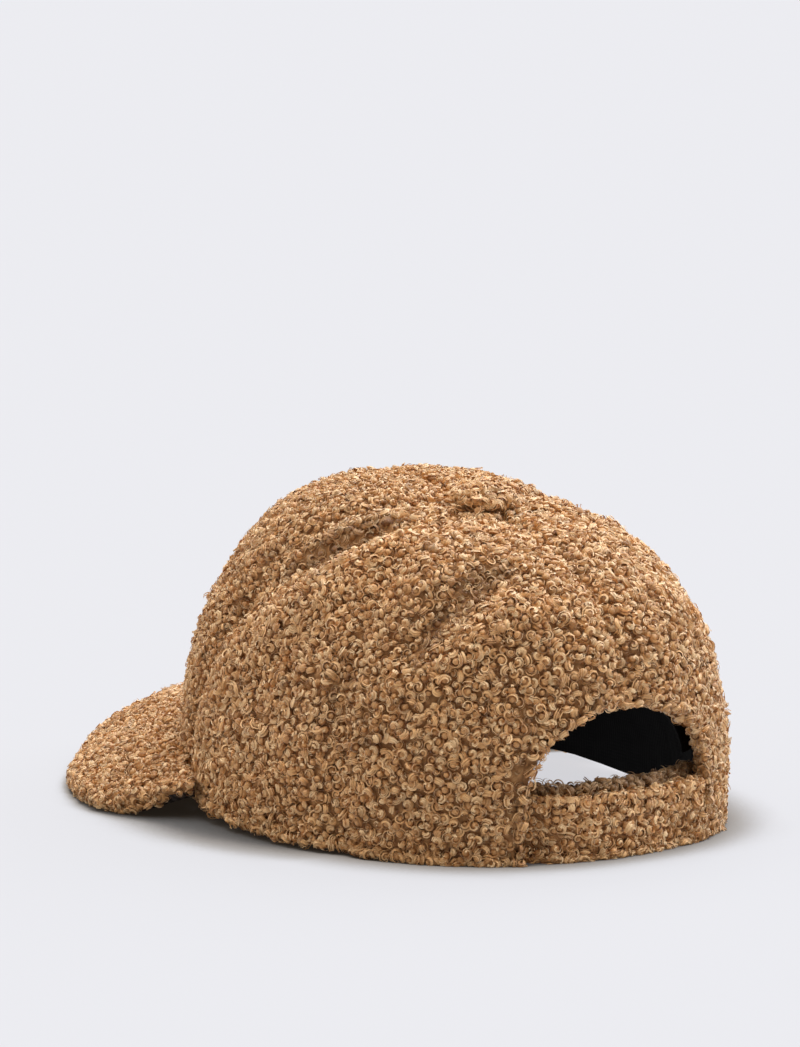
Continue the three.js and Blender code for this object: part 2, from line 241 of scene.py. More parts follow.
def noise(nodes, links, scale, detail, vector):
    node = nodes.new("ShaderNodeTexNoise")
    node.inputs["Scale"].default_value = scale
    node.inputs["Detail"].default_value = detail
    links.new(vector, node.inputs["Vector"])
    return node.outputs["Fac"]


def bump(nodes, links, height, strength, depth):  # depth in mm
    node = nodes.new("ShaderNodeBump")
    node.inputs["Strength"].default_value = strength
    node.inputs["Distance"].default_value = depth * mm
    links.new(height, node.inputs["Height"])
    return node


pileLook = {
    "root": (0.50, 0.242, 0.084),
    "middle": (0.77, 0.445, 0.184),
    "tip": (0.94, 0.685, 0.39),
    "middleAt": 0.38,                  # of the way from root to tip
    "dark": (0.48, 0.41, 0.33),        # multiplies the darkest locks, painted shade of folds among them
    "plain": (1, 0.985, 0.96),
    "light": (1.20, 1.20, 1.19),
    "patchScale": 38.0,                # broad uneven patches of dye
    "patchDetail": 2.0,
    "patchDark": (0.3, (0.96, 0.95, 0.93)),
    "patchLight": (0.7, (1.04, 1.04, 1.03)),
    "streakDetail": 3.0,               # fibres along each strand
    "streakDark": (0.34, (0.72, 0.67, 0.62)),
    "streakLight": (0.66, (1.15, 1.16, 1.17)),
    "fibreBump": 0.7,
    "fibreDepth": 0.35,                # mm
    "roughness": 0.45,
    "gloss": 0.5,
    "sheen": 0.38,
    "sheenRoughness": 0.4,
    "sheenTint": (1, 0.94, 0.86),
}
innerPilePaintedShadeLook = {                      # a darker, greyer copy of the pile: painted shade for the strap layer inside, which lies in shadow
    **pileLook,
    "root": (0.33, 0.18, 0.078),
    "middle": (0.49, 0.30, 0.145),
    "tip": (0.60, 0.42, 0.24),
}


def pileMaterial(name, look):
    material, nodes, links, shader = newMaterial(name)
    length = ramp(nodes, [(0.0, look["root"]), (1.0, look["tip"]), (look["middleAt"], look["middle"])])
    links.new(attribute(nodes, "along").outputs["Fac"], length.inputs["Fac"])
    # the tint ramp: random tone, with the painted shade and painted highlight that the tint carries
    shade = ramp(nodes, [(0.0, look["dark"]), (1.0, look["light"]), (0.5, look["plain"])])
    links.new(attribute(nodes, "tint").outputs["Fac"], shade.inputs["Fac"])
    locks = multiply(nodes, links, length.outputs["Color"], shade.outputs["Color"])
    place = nodes.new("ShaderNodeTexCoord").outputs["Object"]
    patches = ramp(nodes, [look["patchDark"], look["patchLight"]])
    links.new(noise(nodes, links, look["patchScale"], look["patchDetail"], place), patches.inputs["Fac"])
    dyed = multiply(nodes, links, locks, patches.outputs["Color"])
    fibres = noise(nodes, links, 1.0, look["streakDetail"], attribute(nodes, "fibre").outputs["Vector"])
    streaks = ramp(nodes, [look["streakDark"], look["streakLight"]])
    links.new(fibres, streaks.inputs["Fac"])
    links.new(multiply(nodes, links, dyed, streaks.outputs["Color"]), shader.inputs["Base Color"])
    relief = bump(nodes, links, fibres, look["fibreBump"], look["fibreDepth"])
    links.new(relief.outputs["Normal"], shader.inputs["Normal"])
    shader.inputs["Roughness"].default_value = look["roughness"]
    shader.inputs["Specular IOR Level"].default_value = look["gloss"]
    shader.inputs["Sheen Weight"].default_value = look["sheen"]
    shader.inputs["Sheen Roughness"].default_value = look["sheenRoughness"]
    shader.inputs["Sheen Tint"].default_value = (*look["sheenTint"], 1)
    return material


backingLook = {
    "deep": (0.34, 0.165, 0.06),
    "high": (0.56, 0.30, 0.12),
    "deepFrom": 0.8,
    "curlScale": 420.0,
    "curlBump": 0.8,
    "curlDepth": 1.0,                  # mm
    "roughness": 0.85,
}


def backingMaterial(name, look):  # short flat curls under the locks
    material, nodes, links, shader = newMaterial(name)
    cells = nodes.new("ShaderNodeTexVoronoi")
    cells.inputs["Scale"].default_value = look["curlScale"]
    links.new(nodes.new("ShaderNodeTexCoord").outputs["Object"], cells.inputs["Vector"])
    tone = ramp(nodes, [(0.0, look["high"]), (look["deepFrom"], look["deep"])])
    links.new(cells.outputs["Distance"], tone.inputs["Fac"])
    links.new(tone.outputs["Color"], shader.inputs["Base Color"])
    relief = bump(nodes, links, cells.outputs["Distance"], look["curlBump"], look["curlDepth"])
    relief.invert = True
    links.new(relief.outputs["Normal"], shader.inputs["Normal"])
    shader.inputs["Roughness"].default_value = look["roughness"]
    return material


weaveLook = {
    "distortion": 0.6,
    "threadFrom": 0.7,
    "threadBump": 0.4,
    "threadDepth": 0.2,                # mm
    "rumpleScale": 60.0,
    "rumpleDetail": 2.0,
    "rumpleBump": 0.5,
    "rumpleDepth": 2.0,                # mm
    "roughness": 0.9,
    "gloss": 0.12,
}
liningLook = {
    **weaveLook,
    "thread": (0.0035, 0.003, 0.003),
    "valley": (0.001, 0.001, 0.001),
    "weaveScale": 250.0,
}
undersideLook = {
    **weaveLook,
    "thread": (0.075, 0.062, 0.055),
    "valley": (0.03, 0.024, 0.021),
    "weaveScale": 183.33,
}


def combine(nodes, links, operation, first, second):  # two values into one
    node = nodes.new("ShaderNodeMath")
    node.operation = operation
    links.new(first, node.inputs[0])
    links.new(second, node.inputs[1])
    return node.outputs[0]


def clothMaterial(name, look):  # a plain weave with soft rumples
    material, nodes, links, shader = newMaterial(name)
    place = nodes.new("ShaderNodeTexCoord").outputs["Object"]
    waves = {}
    for direction in ("X", "Y", "Z"):
        wave = nodes.new("ShaderNodeTexWave")
        wave.bands_direction = direction
        wave.inputs["Scale"].default_value = look["weaveScale"]
        wave.inputs["Distortion"].default_value = look["distortion"]
        links.new(place, wave.inputs["Vector"])
        waves[direction] = wave.outputs["Fac"]
    crossing = combine(nodes, links, "MAXIMUM", waves["X"], waves["Z"])
    weave = combine(nodes, links, "MULTIPLY", crossing, waves["Y"])
    tone = ramp(nodes, [(0.0, look["valley"]), (look["threadFrom"], look["thread"])])
    links.new(weave, tone.inputs["Fac"])
    links.new(tone.outputs["Color"], shader.inputs["Base Color"])
    threads = bump(nodes, links, weave, look["threadBump"], look["threadDepth"])
    rumples = noise(nodes, links, look["rumpleScale"], look["rumpleDetail"], place)
    folds = bump(nodes, links, rumples, look["rumpleBump"], look["rumpleDepth"])
    links.new(threads.outputs["Normal"], folds.inputs["Normal"])
    links.new(folds.outputs["Normal"], shader.inputs["Normal"])
    shader.inputs["Roughness"].default_value = look["roughness"]
    shader.inputs["Specular IOR Level"].default_value = look["gloss"]
    return material


pile = pileMaterial("curly_pile", pileLook)
# the pile again, darker: painted shade for the inner strap layer
innerPilePaintedShade = pileMaterial("curly_pile_inner_painted_shade", innerPilePaintedShadeLook)
backing = backingMaterial("pile_backing", backingLook)
liningCloth = clothMaterial("black_lining", liningLook)
undersideCloth = clothMaterial("peak_underside", undersideLook)
print("materials made")


# strewing the places of the locks

strewing = {
    "triesPerPlace": 5,
    "edgeOutward": 0.75,       # the lowest row of locks points outward and down by these parts
    "edgeDown": 0.55,
}


def scatter(corners, triangles, normals, chosen, spacing, rng):  # evenly strewn places on the chosen faces
    _, _, areas = faceFacts(corners, triangles)
    faces = np.nonzero(chosen)[0]
    share = areas[faces] / areas[faces].sum()
    tries = int(areas[faces].sum() / spacing ** 2 * strewing["triesPerPlace"])
    picked = faces[rng.choice(len(faces), tries, p=share)]
    u = np.sqrt(rng.random(tries))[:, None]
    v = rng.random(tries)[:, None]
    weights = np.concatenate([1 - u, u * (1 - v), u * v], axis=1)
    places = np.einsum("nk,nkd->nd", weights, corners[triangles[picked]])
    facing = unit(np.einsum("nk,nkd->nd", weights, normals[triangles[picked]]))
    cells = {}
    kept = []
    keys = np.floor(places / spacing).astype(int)
    around = [(i, j, k) for i in (-1, 0, 1) for j in (-1, 0, 1) for k in (-1, 0, 1)]
    for n in range(tries):
        x, y, z = keys[n]
        near = [m for i, j, k in around for m in cells.get((x + i, y + j, z + k), ())]
        if near and np.min(np.sum((places[near] - places[n]) ** 2, axis=1)) < spacing ** 2:
            continue
        cells.setdefault((x, y, z), []).append(n)
        kept.append(n)
    return places[kept], facing[kept]


def edgeRow(corners, triangles, normals, chosen, step, rng):  # places along the pile's lower edge
    rim = rimOf(triangles[chosen])
    rim = rim[underneath(corners, triangles)[rim].all(axis=1)]
    places, facing = [], []
    for a, b in rim:
        way = corners[b] - corners[a]
        parts = max(1, round(np.linalg.norm(way) / step))
        for share in (np.arange(parts) + rng.random()) / parts:
            places.append(corners[a] + way * share)
            facing.append(normals[a] * strewing["edgeOutward"] - up * strewing["edgeDown"])
    return np.array(places).reshape(-1, 3), unit(np.array(facing).reshape(-1, 3))


# growing the locks

lockStyle = {
    "curl": 1.85,                  # radius of a curled lock, mm
    "curlSpread": (0.75, 1.22),    # smallest and largest, as shares of it
    "turns": (1.2, 1.75),
    "lean": 36.0,                  # spread of the curls' axes away from the cloth's normal, degrees
    "leanMost": 64.0,
    "sink": 0.95,                  # of a curl's middle below the outer form, mm
    "sinkSpread": 0.28,
    "tuft": 0.16,                  # rise and fall of the tufts, mm
    "tuftSize": 6.0,               # mm
    "low": -45.0,                  # a curl winds up from here, degrees above its middle
    "high": (74.0, 86.0),          # to here
    "tint": 0.5,                   # from dark, 0, to light, 1
    "tintSpread": 0.11,
    "crescents": 0.22,             # share of open, C-shaped locks
    "crescentTurns": (0.7, 1.05),
    "crescentLow": (-25.0, 10.0),
    "crescentHigh": (25.0, 55.0),
    "strays": 0.02,                # share of loose loops that stand proud
    "strayLean": (60.0, 88.0),
    "straySize": 1.15,
    "strayRise": 0.9,              # mm
    "smallSize": 0.6,              # of the small locks along a stitched line
}
strandStyle = {
    "strands": 3,                  # ribbons of fibres side by side in each lock
    "part": 0.68,                  # from one strand to the next, mm
    "partSpread": 0.1,
    "width": 0.43,                 # half the width of a strand, mm
    "widthSpread": (0.75, 1.15),
    "endWidth": 0.3,               # share of the width that is left at the ends
    "endRun": (0.03, 0.97),        # part of a half wave that the width follows
    "lap": 0.12,                   # random tilt of the strands, mm
    "segments": 11,
    "lengthSpread": (0.8, 1.0),
    "turnSpread": 0.2,             # radians
    "highest": 86.0,               # no strand winds further up, degrees
    "radiusSpread": 0.06,
    "loose": 0.36,                 # share of strands that stand off their lock
    "looseRise": (0.03, 0.25),     # by this share of its radius
    # loose strands are made lighter: painted highlight of fibres catching the light
    "loosePaintedHighlight": 0.3,
    "thin": 0.3,                   # width of loose strands and strays, as a share
    "tintSpread": 0.10,            # between the strands of a lock
    "fibreRun": 0.35,              # streaks to the mm along a strand
    "fibreAcross": 1.8,            # streaks over half a strand's width
    "fibreLayers": 50.0,
}
bodyStyle = {                      # the rounded body of fibres that each lock wraps
    "size": 0.68,                  # of the lock's radius
    "sides": 7,
    "rings": ((38, 0.2), (-8, 0.0)),  # degrees above the body's middle, and place from root to tip
    "top": 0.2,                    # place from root to tip
    "liftSpread": 0.1,             # radians
    "rough": 0.07,
    "lean": 0.35,
    "fibreRun": 0.5,               # streaks to the mm
    "fibreAcross": 3.0,            # and as many more along the lock's axis
}
tuftWaves = {"count": 9, "spread": (0.7, 1.4), "seed": 5}
anyTurn = 7.0                      # radians, a little more than once round
fibreShift = 500.0                 # sets each lock's streaks apart from the next one's
tableGap = 0.05                    # mm; the table presses the lowest locks flat


def tufts(places, size):  # a soft woolly unevenness, about -1 to 1
    rng = np.random.default_rng(tuftWaves["seed"])
    count = tuftWaves["count"]
    ways = unit(rng.normal(size=(count, 3))) * (2 * np.pi / size)
    waves = ways * rng.uniform(*tuftWaves["spread"], (count, 1))
    return np.sin(places @ waves.T + rng.uniform(0, anyTurn, count)).sum(axis=1) / np.sqrt(count)


def joinParts(parts):
    joined = {key: np.concatenate([part[key] for part in parts]) for key in parts[0] if key != "triangles"}
    starts = np.cumsum([0] + [len(part["corners"]) for part in parts[:-1]])
    joined["triangles"] = np.concatenate([part["triangles"] + start for part, start in zip(parts, starts)])
    return joined


def repeatTriangles(one, count, step):  # the same triangles for each of many like parts
    return (np.array(one)[None] + (np.arange(count) * step)[:, None, None]).reshape(-1, 3)


def shapeLocks(places, normals, style, sinkMore, shade, small, rng):  # one row of values for each lock
    count = len(places)
    kind = rng.random(count)
    stray = kind < style["strays"]
    crescent = stray | (kind < style["strays"] + style["crescents"])
    lean = np.radians(np.clip(np.abs(rng.normal(0, style["lean"], count)), 0, style["leanMost"]))
    lean[stray] = np.radians(rng.uniform(*style["strayLean"], stray.sum()))
    axes = normals * np.cos(lean)[:, None] + randomAcross(normals, rng) * np.sin(lean)[:, None]
    side = randomAcross(axes, rng)
    curl = style["curl"] * rng.uniform(*style["curlSpread"], count)
    curl = curl * np.where(stray, style["straySize"], 1) * np.where(small, style["smallSize"], 1)
    openTurns = rng.uniform(*style["crescentTurns"], count)
    turns = np.where(crescent, openTurns, rng.uniform(*style["turns"], count))
    turns = turns * rng.choice([-1.0, 1.0], count)
    sink = style["sink"] + rng.normal(0, style["sinkSpread"], count) + sinkMore
    sink = sink - np.where(stray, style["strayRise"], 0) - style["tuft"] * tufts(places, style["tuftSize"])
    low = np.where(crescent, rng.uniform(*style["crescentLow"], count), style["low"])
    openHigh = rng.uniform(*style["crescentHigh"], count)
    high = np.where(crescent, openHigh, rng.uniform(*style["high"], count))
    # painted shade of the folds and the stitched line lowers the tint, a ridge's painted highlight raises it
    tint = rng.normal(style["tint"], style["tintSpread"], count) - shade
    return {
        "middle": places - normals * sink[:, None],
        "normals": normals,
        "axes": axes,
        "side": side,
        "other": np.cross(axes, side),
        "curl": curl,
        "turns": turns,
        "low": np.radians(low),
        "high": np.radians(high),
        "tint": np.clip(tint, 0, 1),
        "stray": stray,
    }


def growStrands(locks, style, rng):  # curled ribbons, one row of values for each
    count, strands, rings = len(locks["curl"]), style["strands"], style["segments"] + 1
    each = np.repeat(np.arange(count), strands)
    rows = len(each)
    axes, side, other, middle = (locks[key][each, None] for key in ("axes", "side", "other", "middle"))
    curl, turns, low, high = (locks[key][each] for key in ("curl", "turns", "low", "high"))
    loose = rng.random(rows) < style["loose"]
    lane = np.tile(np.arange(strands) - (strands - 1) / 2, count) * style["part"]
    lane = lane + rng.normal(0, style["partSpread"], rows)
    uneven = 1 + rng.normal(0, style["radiusSpread"], rows)
    radius = curl * (uneven + np.where(loose, rng.uniform(*style["looseRise"], rows), 0))
    along = np.linspace(0, 1, rings)[None, :] * rng.uniform(*style["lengthSpread"], rows)[:, None]
    lift = low[:, None] + (high - low)[:, None] * along + (lane / curl)[:, None]
    lift = np.minimum(lift, np.radians(style["highest"]))
    turn = 2 * np.pi * turns[:, None] * along + rng.normal(0, style["turnSpread"], rows)[:, None]
    outward = pointRound(axes, side, other, lift, turn)
    path = middle + outward * radius[:, None, None]
    across = unit(np.cross(outward, unit(np.gradient(path, axis=1))))
    swell = np.sqrt(np.sin(np.pi * np.linspace(*style["endRun"], rings)))[None, :]
    taper = style["endWidth"] + (1 - style["endWidth"]) * swell
    thin = np.where(loose | locks["stray"][each], style["thin"], 1)
    half = style["width"] * taper * (rng.uniform(*style["widthSpread"], rows) * thin)[:, None]
    tilt = rng.normal(0, style["lap"], rows)[:, None] * taper
    corners = np.stack([
        path - across * half[..., None] - outward * tilt[..., None],
        path + across * half[..., None] + outward * tilt[..., None],
    ], axis=2)
    corners[..., 2] = np.maximum(corners[..., 2], tableGap)
    tint = locks["tint"][each] + rng.normal(0, style["tintSpread"], rows)
    # painted highlight on the loose strands
    tint = np.clip(tint + np.where(loose, style["loosePaintedHighlight"], 0), 0, 1)
    run = np.abs(turns)[:, None] * along * 2 * np.pi * radius[:, None]
    fibre = np.empty((rows, rings, 2, 3))
    fibre[..., 0] = (run * style["fibreRun"] + rng.uniform(0, fibreShift, rows)[:, None])[..., None]
    fibre[..., 1] = np.array([-1, 1]) * style["fibreAcross"]
    fibre[..., 2] = rng.uniform(0, style["fibreLayers"], rows)[:, None, None]
    one = []
    for a in range(0, 2 * (rings - 1), 2):
        one += [(a, a + 1, a + 3), (a, a + 3, a + 2)]
    return {
        "corners": corners.reshape(-1, 3),
        "triangles": repeatTriangles(one, rows, rings * 2),
        "along": np.broadcast_to(along[..., None], (rows, rings, 2)).reshape(-1),
        "tint": np.repeat(tint, rings * 2),
        "fibre": fibre.reshape(-1, 3),
    }


def growBodies(locks, style, rng):  # low domes, streaked round each lock's own axis
    axes = locks["axes"][:, None]
    upright = unit(locks["normals"] + locks["axes"] * style["lean"])
    count, sides = len(upright), style["sides"]
    lifts = np.radians([lift for lift, _ in style["rings"]])
    side = randomAcross(upright, rng)
    other = np.cross(upright, side)
    start = rng.uniform(0, anyTurn, count)[:, None, None]
    turn = np.arange(sides)[None, None, :] / sides * 2 * np.pi + start
    lift = lifts[None, :, None] + rng.normal(0, style["liftSpread"], (count, len(lifts), sides))
    outward = pointRound(upright[:, None, None], side[:, None, None], other[:, None, None], lift, turn)
    outward = outward * (1 + rng.normal(0, style["rough"], (count, len(lifts), sides, 1)))
    reach = np.concatenate([upright[:, None], outward.reshape(count, -1, 3)], axis=1)
    reach = reach * (locks["curl"] * style["size"])[:, None, None]
    corners = locks["middle"][:, None] + reach
    corners[..., 2] = np.maximum(corners[..., 2], tableGap)
    lengthwise = axes * np.sum(reach * axes, axis=-1, keepdims=True)
    fibre = reach * style["fibreRun"] + lengthwise * style["fibreAcross"]
    fibre = fibre + rng.uniform(0, fibreShift, (count, 1, 3))
    one = []
    for k in range(sides):
        a, b = 1 + k, 1 + (k + 1) % sides
        one += [(0, a, b), (a, a + sides, b + sides), (a, b + sides, b)]
    along = [style["top"]] + [share for _, share in style["rings"] for _ in range(sides)]
    return {
        "corners": corners.reshape(-1, 3),
        "triangles": repeatTriangles(one, count, len(along)),
        "along": np.tile(along, count),
        "tint": np.repeat(locks["tint"], len(along)),
        "fibre": fibre.reshape(-1, 3),
    }


# hollows along the seams, the stitched line and the folds, with painted shade in the stitched line and the
# folds

seamStyle = {
    "halfWidth": 3.4,              # of the hollow along a seam, mm
    "fadesFrom": 9.0,              # seams close up this near the button, mm
    "fadesOver": 12.0,
    "buttonRise": 0.8,             # the pile closes in round the button, mm
    "buttonRing": 3.0,
    "stitchFrom": 5.0,             # from the gap's edge to the stitched line, mm
    "stitchWidth": 1.3,
    "stitchTop": 36.0,             # height at which the line ends, mm
    "stitchPaintedShade": 0.5,            # painted shade: darker small locks along the stitched groove
}
creases = [                        # folds of the soft cloth: points, depth and half width in mm, added painted shade
    {
        "line": [(35, 45.5, 103), (38.8, 43.7, 101.5), (46.7, 37.3, 97), (53.7, 29.4, 91)],
        "depth": 1.6,
        "width": 5.5,
        "shade": 0.6,
    },
    {
        "line": [(53.7, 29.4, 91), (60, 20.2, 85)],
        "depth": 0.8,
        "width": 5,
        "shade": 0.2,
    },
    {
        "line": [(31, 59, 102), (46.8, 63, 98.6), (57, 59.7, 91.4), (64, 52.6, 83.4)],
        "depth": -0.4,             # a low ridge, with a painted highlight along it
        "width": 6,
        "shade": -0.15,
    },
    {
        "line": [(25, 98.3, 92), (34.4, 97.5, 86.7), (42.3, 97.7, 80.8), (55.9, 97.7, 68)],
        "depth": 1.0,
        "width": 6,
        "shade": 0.4,
    },
    {
        "line": [(69, 69, 64), (72, 72, 53), (74, 74.5, 44)],
        "depth": 0.8,
        "width": 2.2,
        "shade": 0.25,
    },
]
deepestHollow = 1.5                # mm


def seamHollow(places, corners, triangles, chosen, depth):  # how far the seams sink the pile
    rim = rimOf(triangles[chosen])
    sewn = rim[~underneath(corners, triangles)[rim].all(axis=1)]
    fromButton = np.linalg.norm((places - buttonMiddle)[:, :2], axis=1)
    inSeam = 1 - easeIn(nearest(places, sewn, corners) / seamStyle["halfWidth"])
    sinkMore = depth * inSeam * easeIn((fromButton - seamStyle["fadesFrom"]) / seamStyle["fadesOver"])
    ring = np.exp(-((fromButton - buttonRadius) / seamStyle["buttonRing"]) ** 2)
    return sinkMore - seamStyle["buttonRise"] * ring


def stitchGroove(places, corners, triangles):  # 1 along the stitched line beside the gap, 0 away from it
    middles, normals, _ = faceFacts(corners, triangles)
    cutEdges = np.unique(edgesOf(triangles[gapEdgeFaces(middles, normals)]), axis=0)
    panelEdges = np.unique(edgesOf(triangles[crownFaces(middles, normals)]), axis=0)
    edges, count = np.unique(np.concatenate([cutEdges, panelEdges]), axis=0, return_counts=True)
    away = nearest(places, edges[count == 2], corners)
    groove = np.exp(-((away - seamStyle["stitchFrom"]) / seamStyle["stitchWidth"]) ** 2)
    return groove * (places[:, 2] < seamStyle["stitchTop"])


def creaseHollow(places):  # how far the folds sink the pile, and how much painted shade darkens it; a ridge gets painted highlight
    sinkMore = np.zeros(len(places))
    shade = np.zeros(len(places))
    for crease in creases:
        points = np.array(crease["line"], dtype=float)
        steps = np.array([(k, k + 1) for k in range(len(points) - 1)])
        share = np.exp(-(nearest(places, steps, points) / crease["width"]) ** 2)
        sinkMore += crease["depth"] * share
        shade += crease["shade"] * share
    return sinkMore, shade


# dressing the pieces

def makeMesh(name, corners, triangles, slots, materials, extras=None, smoothAngle=None):
    mesh = bpy.data.meshes.new(name)
    mesh.vertices.add(len(corners))
    mesh.vertices.foreach_set("co", (corners * mm).astype(np.float32).reshape(-1))
    mesh.loops.add(len(triangles) * 3)
    mesh.loops.foreach_set("vertex_index", triangles.astype(np.int32).reshape(-1))
    mesh.polygons.add(len(triangles))
    mesh.polygons.foreach_set("loop_start", np.arange(0, len(triangles) * 3, 3, dtype=np.int32))
    mesh.polygons.foreach_set("material_index", slots.astype(np.int32))
    mesh.polygons.foreach_set("use_smooth", np.ones(len(triangles), dtype=bool))
    mesh.update(calc_edges=True)
    for key, (kind, field, values) in (extras or {}).items():
        layer = mesh.attributes.new(key, kind, "POINT")
        layer.data.foreach_set(field, values.astype(np.float32).reshape(-1))
    for material in materials:
        mesh.materials.append(material)
    if smoothAngle is not None:
        mesh.set_sharp_from_angle(angle=math.radians(smoothAngle))
    piece = bpy.data.objects.new(name, mesh)
    bpy.context.scene.collection.objects.link(piece)
    return piece


def growLocks(corners, triangles, chosen, facing, settings, rng):  # all the locks of one piece
    lockSet = {**lockStyle, **settings.get("locks", {})}
    strandSet = {**strandStyle, **settings.get("strands", {})}
    places, directions = scatter(corners, triangles, facing, chosen, settings["spacing"], rng)
    edges, edgeDirections = edgeRow(corners, triangles, facing, chosen, settings["spacing"], rng)
    places = np.concatenate([places, edges])
    directions = np.concatenate([directions, edgeDirections])
    # shade is painted shade, taken off the locks' tint
    hollow, shade = creaseHollow(places)
    small = np.zeros(len(places), dtype=bool)
    if "seams" in settings:
        hollow += seamHollow(places, corners, triangles, chosen, settings["seams"])
    if "stitchLine" in settings:
        groove = stitchGroove(places, corners, triangles)
        hollow += settings["stitchLine"] * groove
        small = groove > settings["smallFrom"]
    hollow = np.minimum(hollow, deepestHollow)
    # painted shade on the small locks of the stitched groove
    shade += small * seamStyle["stitchPaintedShade"]
    locks = shapeLocks(places, directions, lockSet, hollow, shade, small, rng)
    strands = growStrands(locks, strandSet, rng)
    return joinParts([growBodies(locks, bodyStyle, rng), strands]), len(places)


def dressPile(node, settings, seed):
    rng = np.random.default_rng(seed)
    corners, triangles = readNode(node)
    middles, normals, _ = faceFacts(corners, triangles)
    chosen = settings["faces"](middles, normals)
    facing = cornerNormals(corners, triangles, chosen)
    locks, lockCount = growLocks(corners, triangles, chosen, facing, settings, rng)
    used = np.zeros(len(corners), dtype=bool)
    used[triangles[chosen].reshape(-1)] = True
    cloth = corners - np.where(used[:, None], facing * settings["backingDepth"], 0)
    cloth[:, 2] = np.maximum(cloth[:, 2], 0)
    materials = [settings.get("material", pile), backing]
    clothSlots = np.ones(len(triangles), dtype=int)
    if "underside" in settings:
        materials.append(settings["underside"])
        clothSlots[~chosen] = 2
    clothPart = {
        "corners": cloth,
        "triangles": triangles,
        "along": np.zeros(len(cloth)),
        "tint": np.zeros(len(cloth)),
        "fibre": np.zeros((len(cloth), 3)),
    }
    whole = joinParts([clothPart, locks])
    slots = np.concatenate([clothSlots, np.zeros(len(locks["triangles"]), dtype=int)])
    extras = {
        "along": ("FLOAT", "value", whole["along"]),
        "tint": ("FLOAT", "value", whole["tint"]),
        "fibre": ("FLOAT_VECTOR", "vector", whole["fibre"]),
    }
    piece = makeMesh(node + "_pile", whole["corners"], whole["triangles"], slots, materials, extras)
    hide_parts(node)
    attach(piece, "root")
    print(node, "locks", lockCount, "triangles", len(whole["triangles"]))
    return len(whole["triangles"])


fineLocks = {"curl": 1.55, "sink": 0.75}
fineStrands = {"part": 0.58, "width": 0.38, "segments": 9}
panel = {                          # spacing of the locks, depth of the backing and of the seams, mm
    "faces": crownFaces,
    "spacing": 2.25,
    "backingDepth": 1.9,
    "seams": 0.4,
}
frontPanel = {**panel, "spacing": 2.1, "locks": fineLocks, "strands": fineStrands}
backPanel = {**panel, "faces": backCrownFaces}
pilePieces = {
    "crown_front_left": frontPanel,
    "crown_front_right": frontPanel,
    "crown_side_left": panel,
    "crown_side_right": panel,
    "crown_back_left": {**backPanel, "stitchLine": 2.2, "smallFrom": 0.5},
    "crown_back_right": {**backPanel, "stitchLine": 0.8, "smallFrom": 1.0},  # no small locks
    "button": {"faces": buttonFaces, "spacing": 1.95, "backingDepth": 1.4},
    "peak": {
        "faces": peakFaces,
        "spacing": 2.1,
        "backingDepth": 1.6,
        "locks": fineLocks,
        "strands": fineStrands,
        "underside": undersideCloth,
    },
    "strap_outer": {
        "faces": strapFaces,
        "spacing": 2.15,
        "backingDepth": 1.6,
        "locks": {"tint": 0.66},
    },
    "strap_inner": {
        "faces": innerStrapFaces,
        "spacing": 2.1,
        "backingDepth": 1.4,
        "locks": {"strays": 0.2},
        # the inner layer wears the pile with painted shade
        "material": innerPilePaintedShade,
    },
}
firstSeed = 11
total = 0
for seed, (node, settings) in enumerate(pilePieces.items(), firstSeed):
    total += dressPile(node, settings, seed)
print("pile triangles in all", total)


# the black lining

sharpFrom = 50  # degrees; the lining's edges bent more than this stay sharp


def dressLining():
    corners, triangles = readNode("lining")
    slots = np.zeros(len(triangles))
    piece = makeMesh("lining_cloth", corners, triangles, slots, [liningCloth], smoothAngle=sharpFrom)
    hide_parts("lining")
    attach(piece, "root")
    print("lining made")


dressLining()


# floor, camera and light

floorLook = {
    "from": (-70.0, -100.0),       # m
    "to": (70.0, 30.0),
    "colour": (0.10, 0.10, 0.10),
    "glow": (0.648, 0.645, 0.675),  # glow of the pale floor, standing in for the light it gives back; close under the cap it gives way to painted shadow
    # painted shadow: half shade and full shade colours of the floor under the cap
    "halfShade": (0.27, 0.24, 0.215),
    "shade": (0.012, 0.009, 0.0065),
    "glowFrom": 0.82,              # openness of the floor at which each of the three holds; the painted shadow deepens as the floor closes in
    "halfShadeAt": 0.56,
    "shadeTo": 0.33,
    "shadeReach": 0.043,           # m, how far the painted shadow reaches
}
paintedLightSpot = {"at": (-0.074, 0.005, 0), "reach": (0.03, 0.05), "value": (1.0, 0.0)}  # painted light: the floor's painted shadow is lifted round this spot
paintedShadowSpot = {"at": (0.095, 0.012, 0), "reach": (0.0, 0.07), "value": (3.4, 1.0)}   # deeper painted shadow round this spot by the peak


def nearSpot(nodes, links, place, spot):  # from one value to another on the way out from a spot on the floor
    away = nodes.new("ShaderNodeVectorMath")
    away.operation = "DISTANCE"
    away.inputs[1].default_value = spot["at"]
    links.new(place, away.inputs[0])
    value = nodes.new("ShaderNodeMapRange")
    limits = (*spot["reach"], *spot["value"])
    for socket, number in zip(("From Min", "From Max", "To Min", "To Max"), limits):
        value.inputs[socket].default_value = number
    links.new(away.outputs["Value"], value.inputs["Value"])
    return value.outputs["Result"]


